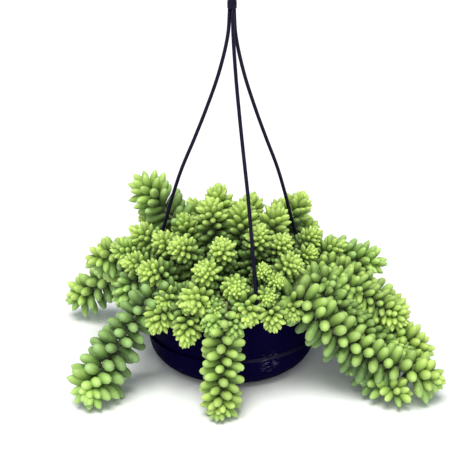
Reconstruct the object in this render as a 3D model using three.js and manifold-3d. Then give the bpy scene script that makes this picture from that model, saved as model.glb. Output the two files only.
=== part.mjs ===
// A burro's tail (Sedum morganianum) in a shallow hanging pot with a drip saucer and a three-strand hanger.
// Millimetres, +Z up. The origin is the centre of the saucer's underside, on the surface it stands on.
import * as THREE from "three";
import { mergeVertices } from "three/addons/utils/BufferGeometryUtils.js";
import Module from "manifold-3d";

const wasm = await Module();
wasm.setup();

// ---- Driving dimensions ----
const GAP = 0.3; // between pieces that touch
const ROUND_SIDES = 28; // facets round the pot and the saucer

const RIM_RADIUS = 100; // outside, an 8 inch pot
const RIM_TOP = 95;
const RIM_BAND = 8; // height of the rolled rim
const RIM_THICK = 4.6;
const POT_WALL = 2.2;

const SAUCER_BASE = 66; // radius of the flat that stands on the surface
const SAUCER_RIM_RADIUS = 96;
const SAUCER_RIM_TOP = 38;
const SAUCER_WALL = 2;

const SOIL_TOP = 83;
const SOCKET = 10; // depth of a stem in the soil

const STRAND_WIDTH = 4;
const STRAND_SIDES = 6;
const STRAND_STEPS = 11;
const LUG_ANGLES = { front: -74, right: 34, left: 158 }; // degrees from +X towards +Y
const STRAND_ROUTE = [ // distance from the pot's axis, height
  [2.6, 399.6], [4.6, 372], [14.6, 331], [29.6, 289], [44.6, 252],
  [60.3, 215], [71.5, 182], [82.6, 145], [96.6, 101], [97.7, 97.2],
];
const CLIP_WIDTH = 9;
const CLIP_THICK = 2.4;
const CLIP_ROOM = 0.5; // between a leaf and the clip's corners
const CLIP_GAP = 1.1; // inside the rim, which is round where the clip is flat

const COLLAR_RADIUS = 5;
const COLLAR_BASE = 400;
const COLLAR_HEIGHT = 12;
const COLLAR_SIDES = 12;
const HOOK_WIDTH = 5;
const HOOK_STEPS = 14;
const HOOK_ROUTE = [ // x, height
  [0, 409], [0, 426], [-11, 438], [-18, 453], [-13, 468], [0, 474], [13, 468], [18, 455], [16, 446],
];

const STALK_RADIUS = 2.6; // the bare foot of a stem
const STALK_STEP = 40; // length of a straight stretch of it
const AROUND = 4; // leaves in a row round a stem; the next row is turned half a leaf on
const ROW_SPACING = 0.55; // along the stem, of a leaf's length
const CORE_SHARE = 0.3; // radius of the stem among its leaves, of a leaf's length
const LEAF_SWELL = 1.32; // modelled leaves are fewer than the real ones, and this much longer
const LEAF_WIDTH = 0.68; // of a leaf's length
const LEAF_PLUMP = 0.88; // depth to width
const LEAF_ROOM = 0.9; // width to the room it has in its row, at the most
const LEAF_FULLEST = 0.62; // where along its length it is fattest
const TIP_REACH = 0.45; // from the topmost row to the stem's end, of a leaf's length
const APEX = 0.2; // from the topmost row to the end of the core, of a leaf's length
const SMALLEST_LEAF = 0.6; // a leaf with no room for this much of it is left out
const SHRINK = 0.1; // from one try to the next
const LEAF_CHECKS = [0.35, 0.6, 0.85]; // where along a leaf its distance from the pot is looked at
// Degrees between a leaf and its stem, and shares of the full leaf's length and of the full core.
const GROWN = { lean: 76, size: 1, core: 1 };
const YOUNG = [ // from the topmost row down
  { lean: 30, size: 0.62, core: 0.35 },
  { lean: 53, size: 0.78, core: 0.65 },
  { lean: 67, size: 0.9, core: 0.9 },
  { lean: 73, size: 1, core: 1 },
];

// Each stem: root x, y on the soil; tip x, y, z; the tip's heading (degrees from +X towards +Y) and pitch
// above level; leaf length; length of stem that bears leaves; then, where it has to clear the rim, how far it
// climbs first and how far it runs straight into its tip.
const STEMS = {
  stem_top: [
    [-14, 4, -23, -5, 182, 250, 75, 17, 50],
    [-10, 26, -16, 30, 184, 110, 75, 17, 46],
    [8, 6, 12, 8, 172, 80, 65, 17, 46],
    [32, 8, 50, 10, 168, 50, 60, 17, 46],
    [43, 44, 79, 73, 160, 40, 55, 17, 48],
    [18, -22, 29, -42, 166, 280, 60, 14, 42],
    [-12, -28, -11, -66, 160, 262, 50, 14, 42],
  ],
  stem_front: [
    [36, -22, 56, -45, 158, 305, 50, 14, 42],
    [46, -38, 66, -66, 141, 310, 35, 14, 42],
    [22, -50, 33, -84, 141, 280, 35, 9, 23],
    [44, -60, 48, -90, 131, 295, 25, 9, 20],
    [32, -58, 38, -101, 116, 280, 15, 11, 25],
    [2, -50, 3, -98, 126, 268, 20, 13, 40],
    [8, -72, 16, -115, 101, 272, -20, 14, 33, 34, 18],
    [34, -78, 43, -113, 92, 280, -45, 12, 26, 42, 22],
    [-20, -64, -18, -111, 105, 265, -5, 10, 24],
    [-28, -50, -41, -106, 113, 250, 10, 16, 38],
    [-20, -42, -29, -88, 142, 252, 35, 14, 40],
    [-50, -62, -48, -115, 78, 255, -50, 14, 33, 46, 32],
  ],
  stem_left: [
    [-60, -64, -80, -97, 84, 235, -35, 14, 33, 50, 30],
    [-50, -24, -92, -58, 128, 215, 20, 15, 40],
    [-42, -10, -78, -26, 152, 200, 45, 14, 42],
    [-34, -26, -57, -52, 156, 228, 40, 14, 42],
    [-56, 6, -104, -4, 152, 175, 30, 14, 46],
    [-66, -8, -126, -8, 132, 187, 12, 14, 50],
    [-68, -22, -112, -36, 128, 200, 10, 13, 46],
    [-42, 36, -100, 58, 184, 165, 45, 20, 62],
  ],
  stem_right: [
    [56, 12, 94, 12, 142, 350, 35, 13, 40],
    [54, -4, 88, -14, 131, 335, 30, 12, 36],
    [64, 24, 119, 18, 126, 10, 35, 15, 50],
    [68, 38, 162, 28, 102, 335, 15, 18, 68, 60, 40],
  ],
  stem_back: [
    [14, 34, 22, 48, 168, 75, 60, 16, 42],
    [-28, 44, -46, 72, 152, 125, 45, 16, 42],
    [38, 48, 58, 74, 152, 55, 45, 16, 46],
    [-4, 54, -8, 92, 148, 95, 35, 15, 44],
    [22, 66, 34, 104, 122, 70, 20, 15, 44],
    [-22, 68, -30, 110, 118, 105, 15, 15, 40],
    [-46, 56, -76, 96, 122, 128, 20, 15, 40],
    [60, 54, 92, 86, 122, 42, 10, 15, 42, 30, 22],
    [0, 74, -4, 118, 106, 92, -10, 14, 35, 40, 22],
    [-50, 36, -98, 72, 138, 145, 25, 15, 42],
  ],
};

// Each trailing stem: leaf length; length of stem that bears leaves; and its route over the rim and down to
// the surface, along which its end lies.
const TAILS = [
  [19, 126, [[-4, -76, 73], [-4, -84, 98], [-6, -102, 110], [-8, -118, 92], [-10, -130, 62], [-11, -143, 38],
    [-12, -159, 18]]],
  [21, 126, [[-64, -47, 73], [-69, -52, 98], [-80, -62, 106], [-97, -76, 92], [-114, -92, 64],
    [-130, -108, 36], [-148, -124, 22]]],
  [19, 144, [[-66, 34, 73], [-71, 40, 98], [-84, 55, 108], [-110, 72, 92], [-142, 84, 62], [-172, 92, 36],
    [-198, 96, 25]]],
  [17, 92, [[-74, 8, 73], [-78, 9, 98], [-96, 12, 114], [-130, 18, 116], [-160, 22, 104]]],
  [20, 190, [[54, -54, 73], [60, -65, 98], [70, -79, 107], [90, -90, 90], [118, -95, 66], [150, -102, 47],
    [186, -108, 34], [226, -114, 25]]],
  [15, 160, [[76, -38, 73], [83, -41, 105], [101, -48, 111], [121, -56, 84], [134, -70, 42], [152, -96, 21],
    [178, -128, 17]]],
  [19, 124, [[76, -4, 73], [84, -6, 98], [104, -8, 113], [132, -16, 106], [160, -28, 82], [186, -42, 58]]],
  [18, 140, [[74, -20, 73], [82, -22, 98], [100, -28, 110], [124, -44, 98], [148, -58, 78], [176, -70, 58],
    [208, -80, 44]]],
  [18, 144, [[44, 64, 73], [50, 74, 98], [60, 92, 109], [72, 118, 84], [80, 140, 51], [86, 160, 31],
    [93, 184, 22]]],
  [18, 130, [[-46, 66, 73], [-50, 75, 98], [-58, 92, 109], [-68, 116, 84], [-74, 138, 51], [-79, 156, 31],
    [-85, 180, 22]]],
];

// ---- Materials ----
const finish = (name, color, roughness) =>
  new THREE.MeshStandardMaterial({ name, color, roughness, metalness: 0 });
const POT_PLASTIC = finish("pot_plastic", 0x0a082b, 0.45);
const HANGER_PLASTIC = finish("hanger_plastic", 0x17112c, 0.5);
const POTTING_MIX = finish("potting_mix", 0x2b2018, 1);
const LEAF = finish("leaf", 0x8fb85a, 0.5);

// ---- Helpers ----
const V = (x, y, z) => new THREE.Vector3(x, y, z);
const rad = THREE.MathUtils.degToRad;

// The direction with this heading and this pitch above level, in degrees.
function direction(heading, pitch) {
  const level = Math.cos(rad(pitch));
  return V(level * Math.cos(rad(heading)), level * Math.sin(rad(heading)), Math.sin(rad(pitch)));
}

// A closed geometry as a manifold-3d solid.
function solid(geometry) {
  const bare = geometry.clone();
  bare.deleteAttribute("normal");
  bare.deleteAttribute("uv");
  const merged = mergeVertices(bare, 1e-4);
  return new wasm.Manifold(
    new wasm.Mesh({
      numProp: 3,
      vertProperties: new Float32Array(merged.attributes.position.array),
      triVerts: new Uint32Array(merged.index.array),
    }),
  );
}

// A manifold-3d solid as a geometry.
function geometryOf(body) {
  const { vertProperties, triVerts } = body.getMesh();
  const geometry = new THREE.BufferGeometry();
  geometry.setAttribute("position", new THREE.BufferAttribute(vertProperties, 3));
  geometry.setIndex(new THREE.BufferAttribute(triVerts, 1));
  geometry.computeVertexNormals();
  return geometry;
}

// A profile of [radius, height] points turned round +Z.
function turned(profile, sides) {
  const points = profile.map(([radius, height]) => new THREE.Vector2(radius, height));
  return new THREE.LatheGeometry(points, sides).rotateX(Math.PI / 2);
}

// A round bar of this radius along a curve.
function bar(path, radius, sides, steps) {
  const section = new THREE.Shape();
  for (let i = 0; i < sides; i++) {
    const turn = (2 * Math.PI * i) / sides;
    section[i ? "lineTo" : "moveTo"](radius * Math.cos(turn), radius * Math.sin(turn));
  }
  return new THREE.ExtrudeGeometry(section, { steps, extrudePath: path });
}

// A geometry from corners and from faces that hold three corners' numbers each.
function surface(corners, faces) {
  const geometry = new THREE.BufferGeometry();
  geometry.setAttribute("position", new THREE.Float32BufferAttribute(corners.flatMap((p) => p.toArray()), 3));
  geometry.setIndex(faces.flat());
  geometry.computeVertexNormals();
  return geometry;
}

// Faces between two rings of corners. They are mirrored from one side to the next, so that neighbouring
// leaves don't cross.
const wall = (lower, upper) => lower.flatMap((corner, i) => {
  const next = (i + 1) % lower.length;
  return i % 2
    ? [[corner, lower[next], upper[next]], [corner, upper[next], upper[i]]]
    : [[corner, lower[next], upper[i]], [lower[next], upper[next], upper[i]]];
});

// Faces over a ring that is a surface's flat end.
const lid = ([first, ...others]) => others.slice(1).map((corner, i) => [first, others[i], corner]);

const plant = new THREE.Group();
function place(name, geometry, material) {
  const mesh = new THREE.Mesh(geometry, material);
  mesh.name = name;
  plant.add(mesh);
}

// ---- Saucer and pot ----
// The saucer's outside is a rounded bowl; the pot's lower wall follows it inside.
const SAUCER_OUTSIDE = [
  [SAUCER_BASE, 0], [80, 5], [91, 18], [SAUCER_RIM_RADIUS, SAUCER_RIM_TOP],
];
const SAUCER_INSIDE = [
  [SAUCER_RIM_RADIUS - SAUCER_WALL, SAUCER_RIM_TOP], [89, 18.8], [78.8, 6.7], [65.4, SAUCER_WALL],
];
const POT_INSET = 0.8; // from the saucer's inside
const POT_LOWER = SAUCER_INSIDE.slice().reverse().map(([radius, height]) =>
  [radius - POT_INSET, height + (height > SAUCER_WALL ? 0 : GAP)]);
const POT_INSIDE = POT_LOWER.slice().reverse().map(([radius, height]) =>
  [radius - POT_WALL, height + POT_WALL * (1 - height / SAUCER_RIM_TOP)]);
const BAND_BASE = RIM_TOP - RIM_BAND;
const RIM_INNER = RIM_RADIUS - RIM_THICK;

const saucerProfile = [[0, 0], ...SAUCER_OUTSIDE, ...SAUCER_INSIDE, [0, SAUCER_WALL]];
const potProfile = [
  [0, SAUCER_WALL + GAP],
  ...POT_LOWER,
  [RIM_RADIUS - RIM_THICK / 2, BAND_BASE],
  [RIM_RADIUS, BAND_BASE + 1],
  [RIM_RADIUS, RIM_TOP - 1],
  [RIM_RADIUS - 1, RIM_TOP],
  [RIM_INNER, RIM_TOP],
  [RIM_INNER, BAND_BASE - 1],
  ...POT_INSIDE,
  [0, POT_INSIDE.at(-1)[1]],
];
place("drip_saucer", turned(saucerProfile, ROUND_SIDES), POT_PLASTIC);
place("pot", turned(potProfile, ROUND_SIDES), POT_PLASTIC);

// ---- Hanger ----
const onSpoke = (angle, radius, height) =>
  V(radius * Math.cos(rad(angle)), radius * Math.sin(rad(angle)), height);

// The clip at a strand's foot straddles the rim: a plate over it and a leg down each side.
function clip(angle) {
  const inner = RIM_INNER - CLIP_GAP;
  const outer = RIM_RADIUS + GAP;
  const top = RIM_TOP + GAP;
  const foot = BAND_BASE;
  const outline = new THREE.Shape();
  outline.moveTo(inner - CLIP_THICK, foot);
  outline.lineTo(inner, foot);
  outline.lineTo(inner, top);
  outline.lineTo(outer, top);
  outline.lineTo(outer, foot);
  outline.lineTo(outer + CLIP_THICK, foot);
  outline.lineTo(outer + CLIP_THICK, top + CLIP_THICK);
  outline.lineTo(inner - CLIP_THICK, top + CLIP_THICK);
  return new THREE.ExtrudeGeometry(outline, { depth: CLIP_WIDTH, bevelEnabled: false })
    .translate(0, 0, -CLIP_WIDTH / 2)
    .rotateX(Math.PI / 2)
    .rotateZ(rad(angle));
}

function strandCurve(angle) {
  return new THREE.CatmullRomCurve3(STRAND_ROUTE.map(([radius, height]) => onSpoke(angle, radius, height)));
}

for (const [side, angle] of Object.entries(LUG_ANGLES)) {
  const strand = bar(strandCurve(angle), STRAND_WIDTH / 2, STRAND_SIDES, STRAND_STEPS);
  place(`hanger_strand_${side}`, geometryOf(solid(strand).add(solid(clip(angle)))), HANGER_PLASTIC);
}

const collar = turned(
  [[0, 0], [COLLAR_RADIUS - 1, 0], [COLLAR_RADIUS, 1], [COLLAR_RADIUS, COLLAR_HEIGHT - 3],
    [HOOK_WIDTH / 2, COLLAR_HEIGHT], [0, COLLAR_HEIGHT]],
  COLLAR_SIDES,
).translate(0, 0, COLLAR_BASE);
const hookCurve = new THREE.CatmullRomCurve3(HOOK_ROUTE.map(([x, height]) => V(x, 0, height)));
const hook = bar(hookCurve, HOOK_WIDTH / 2, STRAND_SIDES, HOOK_STEPS);
place("hanger_hook", geometryOf(solid(collar).add(solid(hook))), HANGER_PLASTIC);

// ---- Stems: routes ----
// A stem leaves the soil upright, climbs, then bends over to its tip.
function stemCurve([rootX, rootY, tipX, tipY, tipZ, heading, pitch, , , climb, run]) {
  const root = V(rootX, rootY, SOIL_TOP - SOCKET);
  const tip = V(tipX, tipY, tipZ);
  const span = root.distanceTo(tip);
  const above = root.clone().add(V(0, 0, SOCKET + (climb ?? 0.32 * span)));
  const before = tip.clone().addScaledVector(direction(heading, pitch), -(run ?? 0.36 * span));
  return new THREE.CubicBezierCurve3(root, above, before, tip);
}

// Where the rings of a stem's surface stand: up the bare stalk, then one for each row of leaves.
function makeStem(name, curve, realLeaf, leafy) {
  const length = curve.getLength();
  const leafLength = realLeaf * LEAF_SWELL;
  const rows = [];
  for (let at = length - TIP_REACH * leafLength; at > length - leafy; ) {
    const age = YOUNG[rows.length] ?? GROWN;
    rows.unshift({ at, age, radius: CORE_SHARE * leafLength * age.core });
    at -= ROW_SPACING * leafLength * age.size;
  }
  const bare = rows[0].at - ROW_SPACING * leafLength;
  const steps = Math.ceil(bare / STALK_STEP);
  const stalk = Array.from({ length: steps + 1 }, (_, i) =>
    ({ at: (bare * i) / steps, radius: STALK_RADIUS }));

  // Level, and square to the way the stem bends.
  let across = V(0, 0, 1).cross(curve.getPoint(1).sub(curve.getPoint(0)));
  const rings = [...stalk, ...rows].map((ring, i) => {
    const centre = curve.getPointAt(ring.at / length);
    const along = curve.getTangentAt(ring.at / length);
    across = across.clone().projectOnPlane(along).normalize();
    const turn = i > steps && (i - steps) % 2 ? 0 : 0.5;
    return { ...ring, centre, along, across, aside: along.clone().cross(across), turn };
  });
  return { name, leafLength, stalk: rings.slice(0, steps + 1), rows: rings.slice(steps + 1) };
}

// The direction out of a ring, so many leaves round it.
function outward({ across, aside, turn }, leaves) {
  const angle = (2 * Math.PI * (leaves + turn)) / AROUND;
  return across.clone().multiplyScalar(Math.cos(angle)).addScaledVector(aside, Math.sin(angle));
}

const ringCorners = (ring, radius) =>
  Array.from({ length: AROUND }, (_, k) => ring.centre.clone().addScaledVector(outward(ring, k), radius));

const stems = Object.entries(STEMS).flatMap(([kind, rows]) =>
  rows.map((row, i) => makeStem(`${kind}_${i + 1}`, stemCurve(row), row[7], row[8])));
TAILS.forEach(([leafLength, leafy, route], i) => {
  const curve = new THREE.CatmullRomCurve3(route.map((point) => V(...point)), false, "catmullrom", 0.5);
  stems.push(makeStem(`tail_${i + 1}`, curve, leafLength, leafy));
});

// ---- Soil ----
// It fills the pot, and each stem stands in a plain hole.
const soilProfile = [
  [0, POT_INSIDE.at(-1)[1] + GAP],
  ...[-1, -2, -3, -4].map((i) => [POT_INSIDE.at(i)[0] - 2 * GAP, POT_INSIDE.at(i)[1] + GAP]),
  [RIM_INNER - 3 * GAP, SOIL_TOP],
  [0, SOIL_TOP],
];
let soil = solid(turned(soilProfile, ROUND_SIDES));
for (const { stalk: [foot, next] } of stems) {
  const corners = [
    ...ringCorners({ ...foot, centre: foot.centre.clone().add(V(0, 0, -GAP)) }, STALK_RADIUS + 3 * GAP),
    ...ringCorners(next, STALK_RADIUS + 3 * GAP),
  ];
  const numbers = corners.map((_, i) => i);
  const lower = numbers.slice(0, AROUND);
  const upper = numbers.slice(AROUND);
  const faces = [...lid(lower.toReversed()), ...wall(lower, upper), ...lid(upper)];
  soil = soil.subtract(solid(surface(corners, faces)));
}
place("soil", geometryOf(soil), POTTING_MIX);

// ---- Room ----
// What a leaf has to stay clear of is held as capsules: a line from a to b, and a radius.
const capsules = [];
function addCapsule(owner, a, b, radius) {
  capsules.push({ owner, a, b, radius, reach: a.distanceTo(b) + radius + GAP });
}
for (const angle of Object.values(LUG_ANGLES)) {
  const points = strandCurve(angle).getSpacedPoints(STRAND_STEPS);
  points.slice(1).forEach((point, i) => addCapsule("hanger", points[i], point, STRAND_WIDTH / 2));
  for (const radius of [RIM_INNER - CLIP_THICK, RIM_RADIUS + CLIP_THICK]) {
    const foot = onSpoke(angle, radius, BAND_BASE);
    addCapsule("hanger", foot, onSpoke(angle, radius, RIM_TOP), CLIP_WIDTH / 2 + CLIP_ROOM);
  }
}
for (const { name, stalk, rows } of stems) {
  const rings = [...stalk, ...rows];
  rings.slice(1).forEach((ring, i) => addCapsule(name, rings[i].centre, ring.centre, ring.radius));
}

// The least distance between the lines a-b and c-d.
function lineDistance(a, b, c, d) {
  const u = b.clone().sub(a);
  const v = d.clone().sub(c);
  const w = a.clone().sub(c);
  const uu = u.dot(u), uv = u.dot(v), vv = v.dot(v), uw = u.dot(w), vw = v.dot(w);
  const clamp = (x) => Math.min(1, Math.max(0, x));
  const cross = uu * vv - uv * uv;
  let s = cross > 1e-9 ? clamp((uv * vw - vv * uw) / cross) : 0;
  const t = clamp((uv * s + vw) / vv);
  s = clamp((uv * t - uw) / uu);
  return a.clone().addScaledVector(u, s).distanceTo(c.clone().addScaledVector(v, t));
}

// The outside radius of the pot and saucer at a height.
function potRadius(height) {
  const wall = [...SAUCER_OUTSIDE, [RIM_RADIUS, BAND_BASE], [RIM_RADIUS, RIM_TOP]];
  const next = wall.findIndex(([, level]) => level >= height);
  if (next <= 0) return next ? RIM_RADIUS : wall[0][0];
  const [r0, z0] = wall[next - 1];
  const [r1, z1] = wall[next];
  return r0 + ((r1 - r0) * (height - z0)) / (z1 - z0 || 1);
}

// Whether a ball is clear of the pot, the soil and the surface below.
function ballIsClear(centre, radius) {
  const reach = radius + GAP;
  const fromAxis = Math.hypot(centre.x, centre.y);
  if (centre.z < radius) return false;
  if (centre.z > RIM_TOP + reach) return true;
  if (fromAxis + reach < RIM_INNER && centre.z > SOIL_TOP + reach) return true;
  return fromAxis > potRadius(centre.z + radius) + reach;
}

// Whether a capsule is clear of all other stems and of the hanger.
function capsuleIsClear(owner, a, b, radius) {
  const reach = a.distanceTo(b) + radius;
  return capsules.every((other) => other.owner === owner ||
    a.distanceTo(other.a) > reach + other.reach ||
    lineDistance(a, b, other.a, other.b) > radius + other.radius + GAP);
}

// ---- Leaves ----
// The leaf that stands so many places round a row, at this share of its full size.
function leafOnRow(leafLength, row, place, share) {
  const out = outward(row, place + 0.5);
  const lean = rad(row.age.lean);
  const toward = row.along.clone().multiplyScalar(Math.cos(lean)).addScaledVector(out, Math.sin(lean));
  const side = row.along.clone().cross(out);
  const length = leafLength * row.age.size * share;
  const fromStem = LEAF_FULLEST * length * Math.sin(lean);
  const room = LEAF_ROOM * fromStem * Math.tan(Math.PI / AROUND); // half way to the next leaf of the row
  const halfWidth = Math.min((length * LEAF_WIDTH) / 2, room);
  const halfDepth = halfWidth * LEAF_PLUMP;
  const at = (along) => row.centre.clone().addScaledVector(toward, along);
  const up = toward.clone().cross(side);
  return { toward, side, up, length, halfWidth, halfDepth, at };
}

// Row by row from their tips down, the stems grow each leaf as large as there is room for.
const mostRows = Math.max(...stems.map(({ rows }) => rows.length));
for (let fromTip = 1; fromTip <= mostRows; fromTip++) {
  for (const { name, leafLength, rows } of stems.filter((stem) => stem.rows.length >= fromTip)) {
    const row = rows.at(-fromTip);
    row.leaves = Array.from({ length: AROUND }, (_, place) => {
      for (let share = 1; share >= SMALLEST_LEAF; share -= SHRINK) {
        const leaf = leafOnRow(leafLength, row, place, share);
        const end = leaf.at(leaf.length - leaf.halfWidth);
        const clear = LEAF_CHECKS.every((along) => ballIsClear(leaf.at(along * leaf.length), leaf.halfWidth));
        if (!clear || !capsuleIsClear(name, row.centre, end, leaf.halfWidth)) continue;
        addCapsule(name, row.centre, end, leaf.halfWidth);
        return leaf;
      }
      return null;
    });
  }
}

// A stem's surface: its stalk, then leaves whose four-cornered feet cover the core between them.
function stemGeometry({ leafLength, stalk, rows }) {
  const corners = [];
  const faces = [];
  const add = (point) => corners.push(point) - 1;
  const rings = [...stalk, ...rows].map((ring) => ringCorners(ring, ring.radius).map(add));
  const apex = add(rows.at(-1).centre.clone().addScaledVector(rows.at(-1).along, APEX * leafLength));

  faces.push(...lid(rings[0].toReversed()));
  for (let i = 1; i < stalk.length; i++) faces.push(...wall(rings[i - 1], rings[i]));
  const shoulder = rings[stalk.length - 1];
  const lowest = rings[stalk.length];
  shoulder.forEach((corner, k) => {
    const next = (k + 1) % AROUND;
    faces.push([corner, shoulder[next], lowest[next]]);
  });

  rows.forEach((row, j) => {
    const [below, own, above] = rings.slice(stalk.length + j - 1);
    row.leaves.forEach((leaf, k) => {
      const between = (k + 2 * row.turn) % AROUND; // the corner that stands below and above this leaf
      const foot = [below[between], own[(k + 1) % AROUND], above ? above[between] : apex, own[k]];
      if (!leaf) {
        faces.push(...lid(foot));
        return;
      }
      const { length, at, side, up, halfWidth, halfDepth } = leaf;
      const middle = at(LEAF_FULLEST * length);
      const belly = [[up, -halfDepth], [side, halfWidth], [up, halfDepth], [side, -halfWidth]]
        .map(([way, distance]) => add(middle.clone().addScaledVector(way, distance)));
      const tip = add(at(length));
      faces.push(...wall(foot, belly), ...belly.map((corner, i) => [corner, belly[(i + 1) % AROUND], tip]));
    });
  });
  return surface(corners, faces);
}

for (const stem of stems) place(stem.name, stemGeometry(stem), LEAF);

export default plant;
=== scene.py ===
# %% [markdown]
# A burro's tail in a hanging pot that has been stood down on a table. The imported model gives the
# places and sizes. This lesson dresses it: a turned pot with its clip-on saucer, a moulded hanger,
# crumbly potting mix, and thousands of plump leaves that spiral round every stem. Lengths are in
# millimetres where MM multiplies them, and otherwise in metres.

# %% Frame
import math
import random

import bmesh
import bpy
import numpy as np
from mathutils import Matrix, Vector, noise


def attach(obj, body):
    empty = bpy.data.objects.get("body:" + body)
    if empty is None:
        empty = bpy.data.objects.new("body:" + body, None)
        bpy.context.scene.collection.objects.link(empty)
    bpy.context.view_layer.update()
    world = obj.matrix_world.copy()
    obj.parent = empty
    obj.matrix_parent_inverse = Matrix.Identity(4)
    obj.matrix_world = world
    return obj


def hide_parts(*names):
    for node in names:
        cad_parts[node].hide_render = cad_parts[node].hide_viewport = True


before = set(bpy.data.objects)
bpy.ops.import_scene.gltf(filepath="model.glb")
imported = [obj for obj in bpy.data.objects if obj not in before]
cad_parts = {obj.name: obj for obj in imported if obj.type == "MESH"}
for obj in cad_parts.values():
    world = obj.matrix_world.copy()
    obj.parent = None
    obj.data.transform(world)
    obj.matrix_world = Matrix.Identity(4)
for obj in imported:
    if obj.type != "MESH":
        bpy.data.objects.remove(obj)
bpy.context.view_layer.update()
MM = 0.001
print("solids in the frame:", len(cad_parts))

# %% [markdown]
# The camera looks down on the plant by 22 degrees. It could stand close with a wide lens, but the
# near leaves would swell and the rim would gape. So it stands well back with a long lens, and the
# rim is a calm ellipse. Two small shifts then place the pot a little left of the middle, which is
# kinder to its shape than turning the camera would be.

# %% Camera
PICTURE = 470  # pixels each way
LOOK_AT = Vector((0, 0, 0.150))
CAMERA_RISE = math.radians(22)
CAMERA_DISTANCE = 1.5
LENS, SENSOR = 104.07, 36  # millimetres
SHIFT_ACROSS, SHIFT_UP = 3, -2.8  # pixels
step_back = Vector((0, -math.cos(CAMERA_RISE), math.sin(CAMERA_RISE)))
camera = bpy.data.objects.new("camera", bpy.data.cameras.new("camera"))
camera.location = LOOK_AT + CAMERA_DISTANCE * step_back
camera.rotation_euler = (math.pi / 2 - CAMERA_RISE, 0, 0)
camera.data.lens = LENS
camera.data.sensor_width = SENSOR
camera.data.shift_x = SHIFT_ACROSS / PICTURE
camera.data.shift_y = SHIFT_UP / PICTURE
bpy.context.scene.collection.objects.link(camera)
bpy.context.scene.camera = camera
print("camera", [round(c, 3) for c in camera.location])

# %% [markdown]
# A finish is a material, and a material is a small graph of nodes. No real surface is quite even,
# so every finish here uses one effect: noise that gives a mask and a dented normal. It could be
# wired again in each material, but as a node group it is built once and placed with other values.
# At a fine scale it is the grain of a skin, and at a coarse one the soft patches in its colour.


# %% Node helpers
def new_material(name):
    """A material, its nodes, its links and its Principled shader."""
    material = bpy.data.materials.new(name)
    material.use_nodes = True
    tree = material.node_tree
    return material, tree.nodes, tree.links, tree.nodes["Principled BSDF"]


def add_node(nodes, kind, **inputs):
    """A node with its named inputs set."""
    node = nodes.new(kind)
    for name, value in inputs.items():
        node.inputs[name.replace("_", " ")].default_value = value
    return node


def add_math(nodes, operation, second=None):
    """A node for a sum on plain numbers, with its second number where that is fixed."""
    node = nodes.new("ShaderNodeMath")
    node.operation = operation
    if second is not None:
        node.inputs[1].default_value = second
    return node


def add_colour_mix(nodes, colour=None):
    """A node that goes from colour A to colour B, with B where that is fixed."""
    node = nodes.new("ShaderNodeMix")
    node.data_type = "RGBA"
    if colour is not None:
        node.inputs["B"].default_value = (*colour, 1)
    return node


def colour_ramp(nodes, stops):
    """A ramp through (position, colour) stops."""
    ramp = nodes.new("ShaderNodeValToRGB")
    elements = ramp.color_ramp.elements
    for end in (0, -1):
        elements[end].position, elements[end].color = stops[end][0], (*stops[end][1], 1)
    for position, colour in stops[1:-1]:
        elements.new(position).color = (*colour, 1)
    return ramp


def grain_group():
    """Noise on object coordinates: a mask from 0 to 1, and a normal dented by it."""
    group = bpy.data.node_groups.new("surface grain", "ShaderNodeTree")
    for name, value in [("Scale", 400.0), ("Detail", 4.0), ("Strength", 0.1), ("Depth", 0.0003)]:
        socket = group.interface.new_socket(name, in_out="INPUT", socket_type="NodeSocketFloat")
        socket.default_value = value
    group.interface.new_socket("Mask", in_out="OUTPUT", socket_type="NodeSocketFloat")
    group.interface.new_socket("Normal", in_out="OUTPUT", socket_type="NodeSocketVector")
    nodes, links = group.nodes, group.links
    inputs, outputs = nodes.new("NodeGroupInput"), nodes.new("NodeGroupOutput")
    place = nodes.new("ShaderNodeTexCoord")
    texture = add_node(nodes, "ShaderNodeTexNoise", Roughness=0.6)
    dent = nodes.new("ShaderNodeBump")
    links.new(place.outputs["Object"], texture.inputs["Vector"])
    links.new(inputs.outputs["Scale"], texture.inputs["Scale"])
    links.new(inputs.outputs["Detail"], texture.inputs["Detail"])
    links.new(inputs.outputs["Strength"], dent.inputs["Strength"])
    links.new(inputs.outputs["Depth"], dent.inputs["Distance"])
    links.new(texture.outputs["Fac"], dent.inputs["Height"])
    links.new(texture.outputs["Fac"], outputs.inputs["Mask"])
    links.new(dent.outputs["Normal"], outputs.inputs["Normal"])
    return group


SURFACE_GRAIN = grain_group()


def add_grain(nodes, **values):
    """One use of the grain group, with its own values."""
    node = nodes.new("ShaderNodeGroup")
    node.node_tree = SURFACE_GRAIN
    for name, value in values.items():
        node.inputs[name].default_value = value
    return node


print("node group:", SURFACE_GRAIN.name)

# %% [markdown]
# The pot and saucer are injection-moulded plastic of a blue so dark that it reads as black. Such
# plastic turns pale where it is knocked or scraped. A painted texture could show that, but masks
# made of distance and noise need no image and stay sharp from close by. One mask is a scuff:
# stretched noise that is kept near a spot on the front. The other is a painted highlight: a thin
# pale line along the lip of the saucer, where its round edge catches light, fading with the
# distance from that spot.

# %% Scuff and painted lip highlight
SAUCER_LIP = 38  # height in millimetres
SCUFF_PLACE = (0.041, -0.086, 0.033)
SCUFF_EDGE, SCUFF_CORE = 0.014, 0.004  # distances from there at which it starts and is full
HIGHLIGHT_FADE_EDGE, HIGHLIGHT_FADE_CORE, HIGHLIGHT_MOST = 0.06, 0.01, 0.2  # the same for the painted highlight along the lip, and its strength
LIP_EDGE, LIP_CORE = 0.0011, 0.0004  # how far above or below the lip it starts and is full
LIP_RAISE = 0.2  # the line lies this much over the lip's height, in millimetres


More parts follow.
